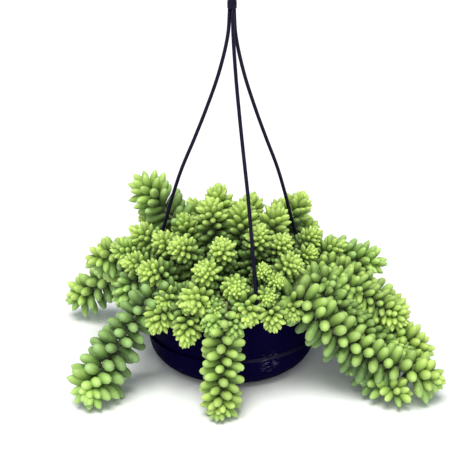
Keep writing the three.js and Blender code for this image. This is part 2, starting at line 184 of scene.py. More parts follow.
def scuff_and_highlight_mask(nodes, links):
    """A node whose value is 1 where the plastic is scuffed, or where a highlight is painted along
    the saucer's lip.
    """
    place = nodes.new("ShaderNodeTexCoord")
    spot = add_node(nodes, "ShaderNodeVectorMath")
    spot.operation = "DISTANCE"
    spot.inputs[1].default_value = SCUFF_PLACE
    near = add_node(nodes, "ShaderNodeMapRange", From_Min=SCUFF_EDGE, From_Max=SCUFF_CORE)
    stretch = add_node(nodes, "ShaderNodeMapping", Scale=(90.0, 90.0, 330.0),
                       Rotation=(0.0, 0.35, 0.0))
    scratch = add_node(nodes, "ShaderNodeTexNoise", Scale=1.6, Detail=7.0, Roughness=0.72)
    cut = add_node(nodes, "ShaderNodeMapRange", From_Min=0.53, From_Max=0.66)
    scuffed = add_math(nodes, "MULTIPLY")
    links.new(place.outputs["Object"], spot.inputs[0])
    links.new(spot.outputs["Value"], near.inputs["Value"])
    links.new(place.outputs["Object"], stretch.inputs["Vector"])
    links.new(stretch.outputs["Vector"], scratch.inputs["Vector"])
    links.new(scratch.outputs["Fac"], cut.inputs["Value"])
    links.new(cut.outputs["Result"], scuffed.inputs[0])
    links.new(near.outputs["Result"], scuffed.inputs[1])

    # painted highlight: a pale line along the saucer's lip, where its round edge catches light,
    # fading away from the scuff
    height = nodes.new("ShaderNodeSeparateXYZ")
    from_lip = add_math(nodes, "SUBTRACT", (SAUCER_LIP + LIP_RAISE) * MM)
    aside = add_math(nodes, "ABSOLUTE")
    lip_line = add_node(nodes, "ShaderNodeMapRange", From_Min=LIP_EDGE, From_Max=LIP_CORE)
    fading = add_node(nodes, "ShaderNodeMapRange", From_Min=HIGHLIGHT_FADE_EDGE, From_Max=HIGHLIGHT_FADE_CORE,
                      To_Max=HIGHLIGHT_MOST)
    lip_highlight = add_math(nodes, "MULTIPLY")
    links.new(place.outputs["Object"], height.inputs["Vector"])
    links.new(height.outputs["Z"], from_lip.inputs[0])
    links.new(from_lip.outputs["Value"], aside.inputs[0])
    links.new(aside.outputs["Value"], lip_line.inputs["Value"])
    links.new(spot.outputs["Value"], fading.inputs["Value"])
    links.new(lip_line.outputs["Result"], lip_highlight.inputs[0])
    links.new(fading.outputs["Result"], lip_highlight.inputs[1])

    wear_and_highlight = add_math(nodes, "MAXIMUM")
    links.new(lip_highlight.outputs["Value"], wear_and_highlight.inputs[0])
    links.new(scuffed.outputs["Value"], wear_and_highlight.inputs[1])
    return wear_and_highlight


# height of the painted highlight along the saucer's lip
print("worn line at", SAUCER_LIP + LIP_RAISE, "mm")

# %% [markdown]
# The plastic itself has a satin skin with a fine moulding grain. Its colour and its gloss drift a
# little from place to place, so one coarse grain drives both. A single flat colour would be
# simpler, but a large dark shape with no drift at all looks like a hole in the render.

# %% Pot plastic
# pale colour of the scuff, and of the painted highlight along the lip
SCUFF_AND_HIGHLIGHT_COLOUR = (0.26, 0.25, 0.36)


def pot_plastic_material():
    """Navy plastic, nearly black, with its worn places."""
    material, nodes, links, shader = new_material("pot plastic")
    shader.inputs["Specular IOR Level"].default_value = 0.005
    grain = add_grain(nodes, Scale=900.0, Detail=3.0, Strength=0.12, Depth=0.0002)
    patches = add_grain(nodes, Scale=14.0, Detail=6.0)
    tone = colour_ramp(nodes, [(0.3, (0.0014, 0.0007, 0.0170)), (0.7, (0.0032, 0.0018, 0.0280))])
    rough = add_node(nodes, "ShaderNodeMapRange", To_Min=0.38, To_Max=0.62)
    pale = add_colour_mix(nodes, SCUFF_AND_HIGHLIGHT_COLOUR)
    links.new(patches.outputs["Mask"], tone.inputs["Fac"])
    links.new(patches.outputs["Mask"], rough.inputs["Value"])
    links.new(scuff_and_highlight_mask(nodes, links).outputs["Value"], pale.inputs["Factor"])
    links.new(tone.outputs["Color"], pale.inputs["A"])
    links.new(pale.outputs["Result"], shader.inputs["Base Color"])
    links.new(rough.outputs["Result"], shader.inputs["Roughness"])
    links.new(grain.outputs["Normal"], shader.inputs["Normal"])
    return material


POT_PLASTIC = pot_plastic_material()
print("made", POT_PLASTIC.name)

# %% [markdown]
# The hanger is the same family of plastic, a touch greyer, and polished by handling. It could
# share the pot's material, but it catches more light and has no scuff, so it gets its own, with
# a finer grain and more gloss.


# %% Hanger plastic
def hanger_plastic_material():
    """Dark plastic with a soft shine."""
    material, nodes, links, shader = new_material("hanger plastic")
    shader.inputs["Specular IOR Level"].default_value = 0.1
    grain = add_grain(nodes, Scale=1200.0, Detail=2.0, Strength=0.08, Depth=0.0001)
    patches = add_grain(nodes, Scale=60.0, Detail=4.0)
    tone = colour_ramp(nodes, [(0.3, (0.0065, 0.0048, 0.0180)), (0.7, (0.0120, 0.0090, 0.0290))])
    rough = add_node(nodes, "ShaderNodeMapRange", To_Min=0.36, To_Max=0.55)
    links.new(patches.outputs["Mask"], tone.inputs["Fac"])
    links.new(patches.outputs["Mask"], rough.inputs["Value"])
    links.new(tone.outputs["Color"], shader.inputs["Base Color"])
    links.new(rough.outputs["Result"], shader.inputs["Roughness"])
    links.new(grain.outputs["Normal"], shader.inputs["Normal"])
    return material


HANGER_PLASTIC = hanger_plastic_material()
print("made", HANGER_PLASTIC.name)

# %% [markdown]
# Potting mix is dark peat with paler grit. Little of it shows between the stems, so its crumbs
# needn't all be modelled: noise darkens and dents the peat, and a Voronoi texture, whose cells
# have a small middle each, turns those middles into specks of grit.

# %% Potting mix
GRIT_COLOUR = (0.32, 0.26, 0.18)


def potting_mix_material():
    """Dull dark crumbs with pale specks."""
    material, nodes, links, shader = new_material("potting mix")
    shader.inputs["Specular IOR Level"].default_value = 0.2
    shader.inputs["Roughness"].default_value = 0.95
    place = nodes.new("ShaderNodeTexCoord")
    grit = add_node(nodes, "ShaderNodeTexVoronoi", Scale=320.0)
    crumbs = add_grain(nodes, Scale=500.0, Detail=8.0, Strength=0.9, Depth=0.002)
    tone = colour_ramp(nodes, [(0.25, (0.006, 0.004, 0.003)), (0.6, (0.035, 0.021, 0.012)),
                               (0.8, (0.09, 0.06, 0.035))])
    specks = colour_ramp(nodes, [(0.0, (1, 1, 1)), (0.12, (0, 0, 0))])
    mix = add_colour_mix(nodes, GRIT_COLOUR)
    links.new(place.outputs["Object"], grit.inputs["Vector"])
    links.new(grit.outputs["Distance"], specks.inputs["Fac"])
    links.new(specks.outputs["Color"], mix.inputs["Factor"])
    links.new(crumbs.outputs["Mask"], tone.inputs["Fac"])
    links.new(tone.outputs["Color"], mix.inputs["A"])
    links.new(mix.outputs["Result"], shader.inputs["Base Color"])
    links.new(crumbs.outputs["Normal"], shader.inputs["Normal"])
    return material


POTTING_MIX = potting_mix_material()
print("made", POTTING_MIX.name)

# %% [markdown]
# A leaf of this plant starts yellow-green at the tip of a stem and turns darker with age. Each leaf
# is painted dark at its foot, as shade where it sits among its neighbours, and pale at its end, as
# a painted highlight, and a thin bloom of wax breaks up its gloss. A material for each shade would
# mean dozens of them. Instead every leaf carries four numbers on its corners: its age, how far
# along it a corner is, a number of its own, and how cool its green is. One material turns them into
# colour.

# %% Leaf skin
LEAF_FACTS = "leaf_facts"  # red: age; green: along the leaf; blue: its own number; alpha: coolness
BLOOM_COLOUR = (0.55, 0.70, 0.36)


def leaf_material():
    """Waxy green skin that reads each leaf's numbers."""
    material, nodes, links, shader = new_material("burro's tail leaf")
    shader.inputs["Specular IOR Level"].default_value = 0.35
    shader.inputs["Sheen Weight"].default_value = 0.12
    shader.inputs["Sheen Roughness"].default_value = 0.4
    facts = nodes.new("ShaderNodeAttribute")
    facts.attribute_name = LEAF_FACTS
    parts = nodes.new("ShaderNodeSeparateColor")
    links.new(facts.outputs["Color"], parts.inputs["Color"])

    # the darkest stops, at full age, are partly the real darker green of old leaves and partly
    # painted shade for leaves deep in the plant
    warm = colour_ramp(nodes, [(0.0, (0.50, 0.66, 0.12)), (0.25, (0.43, 0.59, 0.10)),
                               (0.6, (0.38, 0.55, 0.095)), (1.0, (0.15, 0.26, 0.04))])
    cool = colour_ramp(nodes, [(0.0, (0.44, 0.66, 0.14)), (0.25, (0.35, 0.56, 0.12)),
                               (0.6, (0.30, 0.49, 0.125)), (1.0, (0.13, 0.25, 0.065))])
    skin = add_colour_mix(nodes)
    for ramp, side in ((warm, "A"), (cool, "B")):
        links.new(parts.outputs["Red"], ramp.inputs["Fac"])
        links.new(ramp.outputs["Color"], skin.inputs[side])
    links.new(facts.outputs["Alpha"], skin.inputs["Factor"])

    own = add_node(nodes, "ShaderNodeMapRange", To_Min=0.82, To_Max=1.16)
    # painted shade at the foot of each leaf, where it sits among the others, and a painted
    # highlight, paler and bluer, at its end
    along = colour_ramp(nodes, [(0.0, (0.08, 0.11, 0.07)), (0.5, (0.50, 0.56, 0.46)),
                                (0.86, (1.0, 1.0, 1.0)), (1.0, (1.28, 1.24, 1.6))])
    shade = nodes.new("ShaderNodeVectorMath")
    shade.operation = "SCALE"
    shaded = add_colour_mix(nodes)
    shaded.blend_type = "MULTIPLY"
    shaded.inputs["Factor"].default_value = 1
    links.new(parts.outputs["Blue"], own.inputs["Value"])
    links.new(parts.outputs["Green"], along.inputs["Fac"])
    links.new(along.outputs["Color"], shade.inputs[0])
    links.new(own.outputs["Result"], shade.inputs["Scale"])
    links.new(skin.outputs["Result"], shaded.inputs["A"])
    links.new(shade.outputs["Vector"], shaded.inputs["B"])

    bloom = add_grain(nodes, Scale=260.0, Detail=5.0, Strength=0.08, Depth=0.0003)
    wax = add_node(nodes, "ShaderNodeMapRange", From_Min=0.42, From_Max=0.72, To_Max=0.22)
    waxed = add_colour_mix(nodes, BLOOM_COLOUR)
    rough = add_node(nodes, "ShaderNodeMapRange", To_Min=0.36, To_Max=0.62)
    links.new(bloom.outputs["Mask"], wax.inputs["Value"])
    links.new(wax.outputs["Result"], waxed.inputs["Factor"])
    links.new(shaded.outputs["Result"], waxed.inputs["A"])
    links.new(waxed.outputs["Result"], shader.inputs["Base Color"])
    links.new(bloom.outputs["Mask"], rough.inputs["Value"])
    links.new(rough.outputs["Result"], shader.inputs["Roughness"])
    links.new(bloom.outputs["Normal"], shader.inputs["Normal"])
    return material


LEAF_SKIN = leaf_material()
print("made", LEAF_SKIN.name)

# %% [markdown]
# A bare stalk has a dull grey-green skin with browner patches, rough with leaf scars. The leaves
# hide nearly all of it, so a strong grain is enough and no scar is modelled.


# %% Stalk skin
def stalk_material():
    """Rough green-brown skin."""
    material, nodes, links, shader = new_material("burro's tail stalk")
    grain = add_grain(nodes, Scale=300.0, Detail=6.0, Strength=0.5, Depth=0.0006)
    tone = colour_ramp(nodes, [(0.3, (0.10, 0.15, 0.04)), (0.7, (0.24, 0.27, 0.11))])
    shader.inputs["Roughness"].default_value = 0.7
    links.new(grain.outputs["Mask"], tone.inputs["Fac"])
    links.new(tone.outputs["Color"], shader.inputs["Base Color"])
    links.new(grain.outputs["Normal"], shader.inputs["Normal"])
    return material


STALK_SKIN = stalk_material()
print("made", STALK_SKIN.name)

# %% [markdown]
# Each finished bmesh becomes one object at the origin, with its place in its mesh, and rides on the
# plant's only body. A piece that stands for a solid of the frame hides that solid. Smooth shading
# hides the facets of a round piece, but it also blurs real creases, so those are marked sharp by
# their angle.

# %% Finishing a piece
CREASE = 35  # degrees


def finish_piece(name, bm, materials, slot, *nodes):
    """Turns a bmesh into a named object that rides, replaces the nodes and has its finishes."""
    mesh = bpy.data.meshes.new(name)
    bm.to_mesh(mesh)
    bm.free()
    for material in materials:
        mesh.materials.append(material)
    piece = bpy.data.objects.new(name, mesh)
    bpy.context.scene.collection.objects.link(piece)
    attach(piece, "root")
    if nodes:
        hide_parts(*nodes)
    return piece


def crisp(piece):
    """Keeps the creases of a smooth-shaded piece sharp."""
    bm = bmesh.new()
    bm.from_mesh(piece.data)
    for edge in bm.edges:
        if len(edge.link_faces) == 2 and edge.calc_face_angle() > math.radians(CREASE):
            edge.smooth = False
    bm.to_mesh(piece.data)
    bm.free()


print("pieces are finished with creases over", CREASE, "degrees")

# %% [markdown]
# The mould of such a pot is turned, so the pot can be made in the same way: a few points give half
# of its outline, and a spin round the upright axis makes the rest. A cylinder pushed about by
# hand would need more work and be less round. Small rounds are drawn as arcs, and the belly as
# a smooth curve through a few points.


# %% Turning
def turn_profile(profile, steps):
    """A closed solid of turning from (radius, height) points in millimetres, axis to axis."""
    bm = bmesh.new()
    corners = [bm.verts.new((radius * MM, 0, height * MM)) for radius, height in profile]
    edges = [bm.edges.new(pair) for pair in zip(corners, corners[1:])]
    bmesh.ops.spin(bm, geom=corners + edges, cent=(0, 0, 0), axis=(0, 0, 1), angle=2 * math.pi,
                   steps=steps, use_merge=True)
    bmesh.ops.remove_doubles(bm, verts=bm.verts, dist=1e-6)
    bmesh.ops.recalc_face_normals(bm, faces=bm.faces)
    for face in bm.faces:
        face.smooth = True
    return bm


def smooth_route(points, count, evenness=0.0):
    """Catmull-Rom points through a route. Evenness 0.5 keeps uneven spacing from looping."""
    p = [Vector(q) for q in points]
    p = [2 * p[0] - p[1], *p, 2 * p[-1] - p[-2]]
    route = []
    for i in range(1, len(p) - 2):
        a, b, c, d = p[i - 1:i + 3]
        t0, t1, t2 = [max((q - r).length, 1e-6) ** evenness for q, r in ((b, a), (c, b), (d, c))]
        leave = ((b - a) / t0 - (c - a) / (t0 + t1) + (c - b) / t1) * t1
        arrive = ((c - b) / t1 - (d - b) / (t1 + t2) + (d - c) / t2) * t1
        for k in range(count):
            t = k / count
            route.append(b * (2 * t**3 - 3 * t**2 + 1) + leave * (t**3 - 2 * t**2 + t)
                         + c * (3 * t**2 - 2 * t**3) + arrive * (t**3 - t**2))
    return [*route, p[-2]]


def arc(centre_r, centre_z, radius, start, end, count):
    """Points on a small round of a profile, angles in degrees."""
    angles = [math.radians(start + (end - start) * i / count) for i in range(count + 1)]
    return [(centre_r + radius * math.cos(a), centre_z + radius * math.sin(a)) for a in angles]


def bowl_curve(points, count):
    """A smooth line through profile points."""
    return [tuple(p[:2]) for p in smooth_route([(r, z, 0) for r, z in points], count)]


print("a quarter round:", [(round(r, 2), round(z, 2)) for r, z in arc(0, 0, 1, 0, 90, 2)])

# %% [markdown]
# The pot is a rounded bowl with a rolled rim. The saucer clips round its lower half and ends in a
# thin lip, which shows as a faint line round the outside. Each profile goes up the outside,
# over the edge and down the inside, so the wall gets its real thickness from the start.

# %% Pot and saucer
RIM_RADIUS, RIM_TOP, RIM_BAND, RIM_THICK = 100, 95, 8, 4.6
RIM_INNER = RIM_RADIUS - RIM_THICK
BAND_FOOT = RIM_TOP - RIM_BAND
TURN_STEPS = 112

saucer_profile = [
    (0, 0.4), (58, 0.4), (61, 0), (66, 0),
    *bowl_curve([(66, 0), (80, 5), (91, 18), (95.4, 36.8)], 6)[1:],
    *arc(95.0, 37.1, 0.9, -20, 180, 8),
    *bowl_curve([(94, 36.6), (89, 18.8), (78.8, 6.7), (65.4, 2)], 6)[1:], (0, 2),
]
pot_profile = [
    (0, 2.4), *bowl_curve([(64.6, 2.4), (78, 7), (88.2, 19.1), (93.2, 38.3)], 6),
    (97.4, BAND_FOOT - 0.4), (98.6, BAND_FOOT - 0.2),
    *arc(98.4, BAND_FOOT + 1.4, 1.5, -80, 0, 4), *arc(97.6, RIM_TOP - 2.4, 2.3, 0, 180, 10),
    (RIM_INNER, BAND_FOOT),
    *bowl_curve([(RIM_INNER, 86), (91, 38.3), (86, 21), (75.8, 9), (62.4, 4.6)], 5)[1:],
    (0, 4.6),
]
saucer = finish_piece("drip_saucer_shell", turn_profile(saucer_profile, TURN_STEPS), [POT_PLASTIC],
                      "pot_plastic", "drip_saucer")
pot = finish_piece("pot_shell", turn_profile(pot_profile, TURN_STEPS), [POT_PLASTIC],
                   "pot_plastic", "pot")
for shell in (saucer, pot):
    crisp(shell)
    print(shell.name, len(shell.data.polygons), "faces")

# %% [markdown]
# The potting mix fills the pot nearly to its rim and is heaped and dimpled. It could be a sculpted
# block, but only its top is ever seen, so it is a disc with a low edge. Rings of faces are set
# into the disc, noise moves their points up and down by a couple of millimetres, and small
# flattened balls lie on it as crumbs.

# %% Potting mix surface
SOIL_TOP, SOIL_RADIUS, SOIL_EDGE = 83, 94.2, 4
RINGS, RING_WIDTH, ROUND_STEPS = 14, 6.4, 72
CRUMBS, CRUMB_HEIGHT, CRUMB_SPREAD = 420, 81.9, 92

soil = bmesh.new()
bmesh.ops.create_circle(soil, cap_ends=True, radius=SOIL_RADIUS * MM, segments=ROUND_STEPS)
for _ in range(RINGS):
    top = max(soil.faces, key=lambda face: len(face.verts))
    bmesh.ops.inset_region(soil, faces=[top], thickness=RING_WIDTH * MM)
bmesh.ops.poke(soil, faces=[max(soil.faces, key=lambda face: len(face.verts))])
wall = bmesh.ops.extrude_edge_only(soil, edges=[edge for edge in soil.edges if edge.is_boundary])
low = {corner for corner in wall["geom"] if isinstance(corner, bmesh.types.BMVert)}
bmesh.ops.translate(soil, vec=(0, 0, -SOIL_EDGE * MM), verts=list(low))
for corner in soil.verts:
    corner.co.z += SOIL_TOP * MM
    if corner not in low:
        heaps, dimples = noise.noise(corner.co * 160), noise.noise(corner.co * 500)
        corner.co.z -= (1.6 + 1.3 * heaps + 0.8 * dimples) * MM
bmesh.ops.contextual_create(soil, geom=[edge for edge in soil.edges if edge.is_boundary])
bmesh.ops.recalc_face_normals(soil, faces=soil.faces)

dice = random.Random(7)
for _ in range(CRUMBS):
    spread, angle = CRUMB_SPREAD * math.sqrt(dice.random()), dice.uniform(0, 2 * math.pi)
    radius = dice.uniform(0.7, 1.7) * MM
    crumb = bmesh.ops.create_icosphere(soil, subdivisions=1, radius=radius)["verts"]
    bmesh.ops.scale(soil, vec=(1, dice.uniform(0.6, 1), dice.uniform(0.5, 0.9)), verts=crumb)
    turn = Matrix.Rotation(dice.uniform(0, 6), 3, "Z")
    bmesh.ops.rotate(soil, cent=(0, 0, 0), matrix=turn, verts=crumb)
    place = (spread * math.cos(angle) * MM, spread * math.sin(angle) * MM, CRUMB_HEIGHT * MM)
    bmesh.ops.translate(soil, vec=place, verts=crumb)
for face in soil.faces:
    face.smooth = True
soil_piece = finish_piece("potting_mix_surface", soil, [POTTING_MIX], "potting_mix", "soil")
print(soil_piece.name, len(soil_piece.data.polygons), "faces")

# %% [markdown]
# The strands, the hook and the stalks are all round bars along a route. A curve with a bevel would
# draw such a bar too, but it has to be made a mesh before it can join other shapes. Here a ring
# of corners is extruded from station to station, and each new ring is set square to the route.


# %% Bars along a route
def stations_along(route, spacing):
    """Evenly spaced (place, direction) pairs along a route, in metres."""
    points = np.array(route, float)
    steps = np.linalg.norm(np.diff(points, axis=0), axis=1)
    reach = np.concatenate([[0], np.cumsum(steps)])
    count = max(2, round(reach[-1] / spacing))
    marks = np.linspace(0, reach[-1], count + 1)
    places = [Vector([np.interp(m, reach, points[:, axis]) for axis in range(3)]) for m in marks]
    ways = [(places[min(i + 1, count)] - places[max(i - 1, 0)]).normalized()
            for i in range(count + 1)]
    return list(zip(places, ways))


def next_ring(bm, ring):
    """Extrudes a ring of corners; returns the new corners in the same order, and the faces."""
    touching = dict.fromkeys(edge for corner in ring for edge in corner.link_edges)
    edges = [edge for edge in touching if all(corner in ring for corner in edge.verts)]
    grown = bmesh.ops.extrude_edge_only(bm, edges=edges)["geom"]
    new = {part for part in grown if isinstance(part, bmesh.types.BMVert)}
    corners = [next(edge.other_vert(corner) for edge in corner.link_edges
                    if edge.other_vert(corner) in new) for corner in ring]
    return corners, [part for part in grown if isinstance(part, bmesh.types.BMFace)]


def add_bar(bm, stations, radii, sides, material_index=0):
    """A closed round bar, a ring of corners at each station."""
    starts_along_y = abs(stations[0][1].y) > 0.9
    across = Vector((1, 0, 0)) if starts_along_y else Vector((0, 1, 0))
    ring = bmesh.ops.create_circle(bm, cap_ends=True, radius=1, segments=sides)["verts"]
    shape = [corner.co.copy() for corner in ring]
    made = [ring[0].link_faces[0]]
    for i, ((place, way), radius) in enumerate(zip(stations, radii)):
        across = (across - across.dot(way) * way).normalized()
        turn = Matrix((across, way.cross(across), way)).transposed()
        if i > 0:
            ring, faces = next_ring(bm, ring)
            made += faces
        for corner, unit in zip(ring, shape):
            corner.co = place + turn @ (unit * radius)
    made += bmesh.ops.contextual_create(bm, geom=ring)["faces"]
    for face in made:
        face.smooth = len(face.verts) <= 4
        face.material_index = material_index
    bmesh.ops.recalc_face_normals(bm, faces=made)


print("bars ready")

# %% [markdown]
# Three strands leave the collar together, bow outwards and end in clips that straddle the rim. The
# clips could be bent from a thin sheet. They are square mouldings with softened edges, though, so
# each is built of three bevelled blocks: a leg inside the rim, a bridge over it, a leg outside.

# %% Hanger strands
LUG_ANGLES = {"front": -74, "right": 34, "left": 158}
STRAND_ROUTE = [(2.6, 399.6), (4.6, 372), (14.6, 331), (29.6, 289), (44.6, 252),
                (60.3, 215), (71.5, 182), (82.6, 145), (96.6, 101), (97.7, 97.2)]
STRAND_RADIUS, STRAND_SIDES, STRAND_STEP = 2.0, 12, 6
INNER_LEG, OUTER_LEG = (91.9, 94.3), (100.3, 102.7)  # distances from the pot's axis
CLIP_HALF_WIDTH, LEG_FOOT, BRIDGE_FOOT, BRIDGE_THICK = 4.5, 87.2, RIM_TOP + 0.3, 2.4
SOFT_EDGE = 0.7


def add_box(bm, low, high, turn):
    """A softly bevelled block between two corners, in millimetres, turned round the pot's axis."""
    block = bmesh.ops.create_cube(bm, size=1)["verts"]
    bmesh.ops.scale(bm, vec=[(b - a) * MM for a, b in zip(low, high)], verts=block)
    bmesh.ops.translate(bm, vec=[(a + b) / 2 * MM for a, b in zip(low, high)], verts=block)
    edges = list({edge for corner in block for edge in corner.link_edges})
    bevelled = bmesh.ops.bevel(bm, geom=edges, offset=SOFT_EDGE * MM, segments=2, profile=0.5,
                               affect="EDGES", material=-1)
    corners = list({corner for face in bevelled["faces"] for corner in face.verts})
    bmesh.ops.rotate(bm, cent=(0, 0, 0), matrix=Matrix.Rotation(turn, 3, "Z"), verts=corners)


def strand_line(angle):
    """A strand's middle line, in metres."""
    turn = math.radians(angle)
    spine = [(radius * math.cos(turn) * MM, radius * math.sin(turn) * MM, height * MM)
             for radius, height in STRAND_ROUTE]
    return smooth_route(spine, 8, evenness=0.5)


for side, angle in LUG_ANGLES.items():
    strand = bmesh.new()
    stations = stations_along(strand_line(angle), STRAND_STEP * MM)
    add_bar(strand, stations, [STRAND_RADIUS * MM] * len(stations), STRAND_SIDES)
    for (inner, outer), foot in ((INNER_LEG, LEG_FOOT), ((INNER_LEG[0], OUTER_LEG[1]), BRIDGE_FOOT),
                                 (OUTER_LEG, LEG_FOOT)):
        add_box(strand, (inner, -CLIP_HALF_WIDTH, foot),
                (outer, CLIP_HALF_WIDTH, BRIDGE_FOOT + BRIDGE_THICK), math.radians(angle))
    piece = finish_piece(f"strand_{side}", strand, [HANGER_PLASTIC], "hanger_plastic",
                         f"hanger_strand_{side}")
    print(piece.name, len(piece.data.polygons), "faces")

# %% [markdown]
# The strands meet under a small collar, and a plain open hook rises out of it. On the real object
# they are one moulding. The collar is round, so it is turned. The hook is a bar along a route,
# easier to bend to the right opening than a cut torus would be, and its end is blunted.

# %% Collar and hook
HOOK_ROUTE = [(0, 409), (0, 426), (-11, 438), (-18, 453), (-13, 467), (0, 472.9), (13, 467),
              (18, 455), (16, 446)]
HOOK_RADIUS, HOOK_END_RADII, HOOK_SIDES, HOOK_STEP = 2.5, (2.2, 1.2), 14, 3
COLLAR_STEPS = 32
collar_profile = [(0, 400), (4.2, 400), *arc(4.2, 400.8, 0.8, -90, 0, 3), (5, 407), (4.7, 407.6),
                  (4.7, 408.2), (5, 408.8), *arc(4.0, 409.2, 1.0, 0, 70, 3), (2.6, 411.9), (0, 412)]
hook = turn_profile(collar_profile, COLLAR_STEPS)
spine = smooth_route([(x * MM, 0, height * MM) for x, height in HOOK_ROUTE], 10, evenness=0.5)
stations = stations_along(spine, HOOK_STEP * MM)
radii = [HOOK_RADIUS * MM] * (len(stations) - 2) + [radius * MM for radius in HOOK_END_RADII]
add_bar(hook, stations, radii, HOOK_SIDES)
hook_piece = finish_piece("collar_and_hook", hook, [HANGER_PLASTIC], "hanger_plastic",
                          "hanger_hook")
crisp(hook_piece)
print(hook_piece.name, len(hook_piece.data.polygons), "faces")

# %% [markdown]
# A leaf is a plump drop with a small point. Thousands are needed, so one is shaped from a ball of a
# few dozen faces and then copied: it is narrowed towards its foot, flattened a little and bent.
# Young leaves are pointed, old ones blunter and fuller, and three bends of each give variety.

# %% Leaf shapes
LEAF_SEGMENTS, LEAF_RINGS = 8, 7
LEAF_BENDS = (0.0, 0.07, 0.15)
FLATNESS = 0.92  # thickness against width
POINT, BLUNT_POINT = 0.05, 0.01  # length of the point at the tip
BLUNTING = 0.13  # 0 keeps a ball's round ends, 0.5 would make them square


def leaf_shape(bend, blunt):
    """A unit leaf, foot at the origin, along +Z, bending towards +Y, about a unit wide."""
    bm = bmesh.new()
    facts = bm.verts.layers.float_color.new(LEAF_FACTS)
    bmesh.ops.create_uvsphere(bm, u_segments=LEAF_SEGMENTS, v_segments=LEAF_RINGS, radius=0.5)
    for corner in bm.verts:
        along = corner.co.z + 0.5
        full = 0.72 + 0.42 * along - 0.10 * along**6  # narrows the ball towards its foot
        if blunt and 0.01 < along < 0.99:
            full *= (1 - (2 * along - 1) ** 2) ** -BLUNTING
        corner[facts] = (0, along, 0, 0)
        tip = (BLUNT_POINT if blunt else POINT) * (along > 0.98)
        corner.co = Vector((corner.co.x * full, corner.co.y * full * FLATNESS, along + tip))
        corner.co.y += bend * along**2
    for face in bm.faces:
        face.smooth = True
    mesh = bpy.data.meshes.new("leaf shape")
    bm.to_mesh(mesh)
    bm.free()
    return mesh


POINTED_LEAVES = [leaf_shape(bend, blunt=False) for bend in LEAF_BENDS]
BLUNT_LEAVES = [leaf_shape(bend, blunt=True) for bend in LEAF_BENDS]
print("leaf shape:", len(BLUNT_LEAVES[0].polygons), "faces")

# %% [markdown]
# The upright stems follow the same routes as their solids. A route could be drawn point by point,
# but such a stem leaves the soil, climbs and bends to its tip, and a Bezier curve does just that
# with four points. A row gives root x, y; tip x, y, z; heading and pitch there; leaf length; and,
# for a stem that clears the rim, how far it climbs and how far it runs straight into its tip.

# %% Upright stems
STEMS = {
    "stem_top": [
        (-14, 4, -23, -5, 182, 250, 75, 17), (-10, 26, -16, 30, 184, 110, 75, 17),
        (8, 6, 12, 8, 172, 80, 65, 17), (32, 8, 50, 10, 168, 50, 60, 17),
        (43, 44, 79, 73, 160, 40, 55, 17), (18, -22, 29, -42, 166, 280, 60, 14),
        (-12, -28, -11, -66, 160, 262, 50, 14),
    ],
    "stem_front": [
        (36, -22, 56, -45, 158, 305, 50, 14), (46, -38, 66, -66, 141, 310, 35, 14),
        (22, -50, 33, -84, 141, 280, 35, 9), (44, -60, 48, -90, 131, 295, 25, 9),
        (32, -58, 38, -101, 116, 280, 15, 11), (2, -50, 3, -98, 126, 268, 20, 13),
        (8, -72, 16, -115, 101, 272, -20, 14, 34, 18),
        (34, -78, 43, -113, 92, 280, -45, 12, 42, 22),
        (-20, -64, -18, -111, 105, 265, -5, 10), (-28, -50, -41, -106, 113, 250, 10, 16),
        (-20, -42, -29, -88, 142, 252, 35, 14), (-50, -62, -48, -115, 78, 255, -50, 14, 46, 32),
    ],
    "stem_left": [
        (-60, -64, -80, -97, 84, 235, -35, 14, 50, 30), (-50, -24, -92, -58, 128, 215, 20, 15),
        (-42, -10, -78, -26, 152, 200, 45, 14), (-34, -26, -57, -52, 156, 228, 40, 14),
        (-56, 6, -104, -4, 152, 175, 30, 14), (-66, -8, -126, -8, 132, 187, 12, 14),
        (-68, -22, -112, -36, 128, 200, 10, 13), (-42, 36, -100, 58, 184, 165, 45, 20),
    ],
    "stem_right": [
        (56, 12, 94, 12, 142, 350, 35, 13), (54, -4, 88, -14, 131, 335, 30, 12),
        (64, 24, 119, 18, 126, 10, 35, 15), (68, 38, 162, 28, 102, 335, 15, 18, 60, 40),
    ],
    "stem_back": [
        (14, 34, 22, 48, 168, 75, 60, 16), (-28, 44, -46, 72, 152, 125, 45, 16),
        (38, 48, 58, 74, 152, 55, 45, 16), (-4, 54, -8, 92, 148, 95, 35, 15),
        (22, 66, 34, 104, 122, 70, 20, 15), (-22, 68, -30, 110, 118, 105, 15, 15),
        (-46, 56, -76, 96, 122, 128, 20, 15), (60, 54, 92, 86, 122, 42, 10, 15, 30, 22),
        (0, 74, -4, 118, 106, 92, -10, 14, 40, 22), (-50, 36, -98, 72, 138, 145, 25, 15),
    ],
}
ROOT_HEIGHT, SOCKET = 73, 10  # a stalk starts below the soil's top and first leaves it upright
CLIMB_SHARE, RUN_SHARE = 0.32, 0.36  # of the straight distance from root to tip
LINE_POINTS = 49


def upright_line(root_x, root_y, tip_x, tip_y, tip_z, heading, pitch, _leaf, climb=None, run=None):
    """The middle line of an upright stem, in metres."""
    root, tip = Vector((root_x, root_y, ROOT_HEIGHT)), Vector((tip_x, tip_y, tip_z))
    span = (tip - root).length
    heading, pitch = math.radians(heading), math.radians(pitch)
    level = math.cos(pitch)
    way = Vector((level * math.cos(heading), level * math.sin(heading), math.sin(pitch)))
    above = root + Vector((0, 0, SOCKET + (CLIMB_SHARE * span if climb is None else climb)))
    before = tip - way * (RUN_SHARE * span if run is None else run)
    return [((1 - t) ** 3 * root + 3 * (1 - t) ** 2 * t * above + 3 * (1 - t) * t**2 * before
             + t**3 * tip) * MM for t in np.linspace(0, 1, LINE_POINTS)]


routes = {f"{kind}_{i + 1}": (row[7], upright_line(*row)) for kind, rows in STEMS.items()
          for i, row in enumerate(rows)}
print("upright stems:", len(routes))

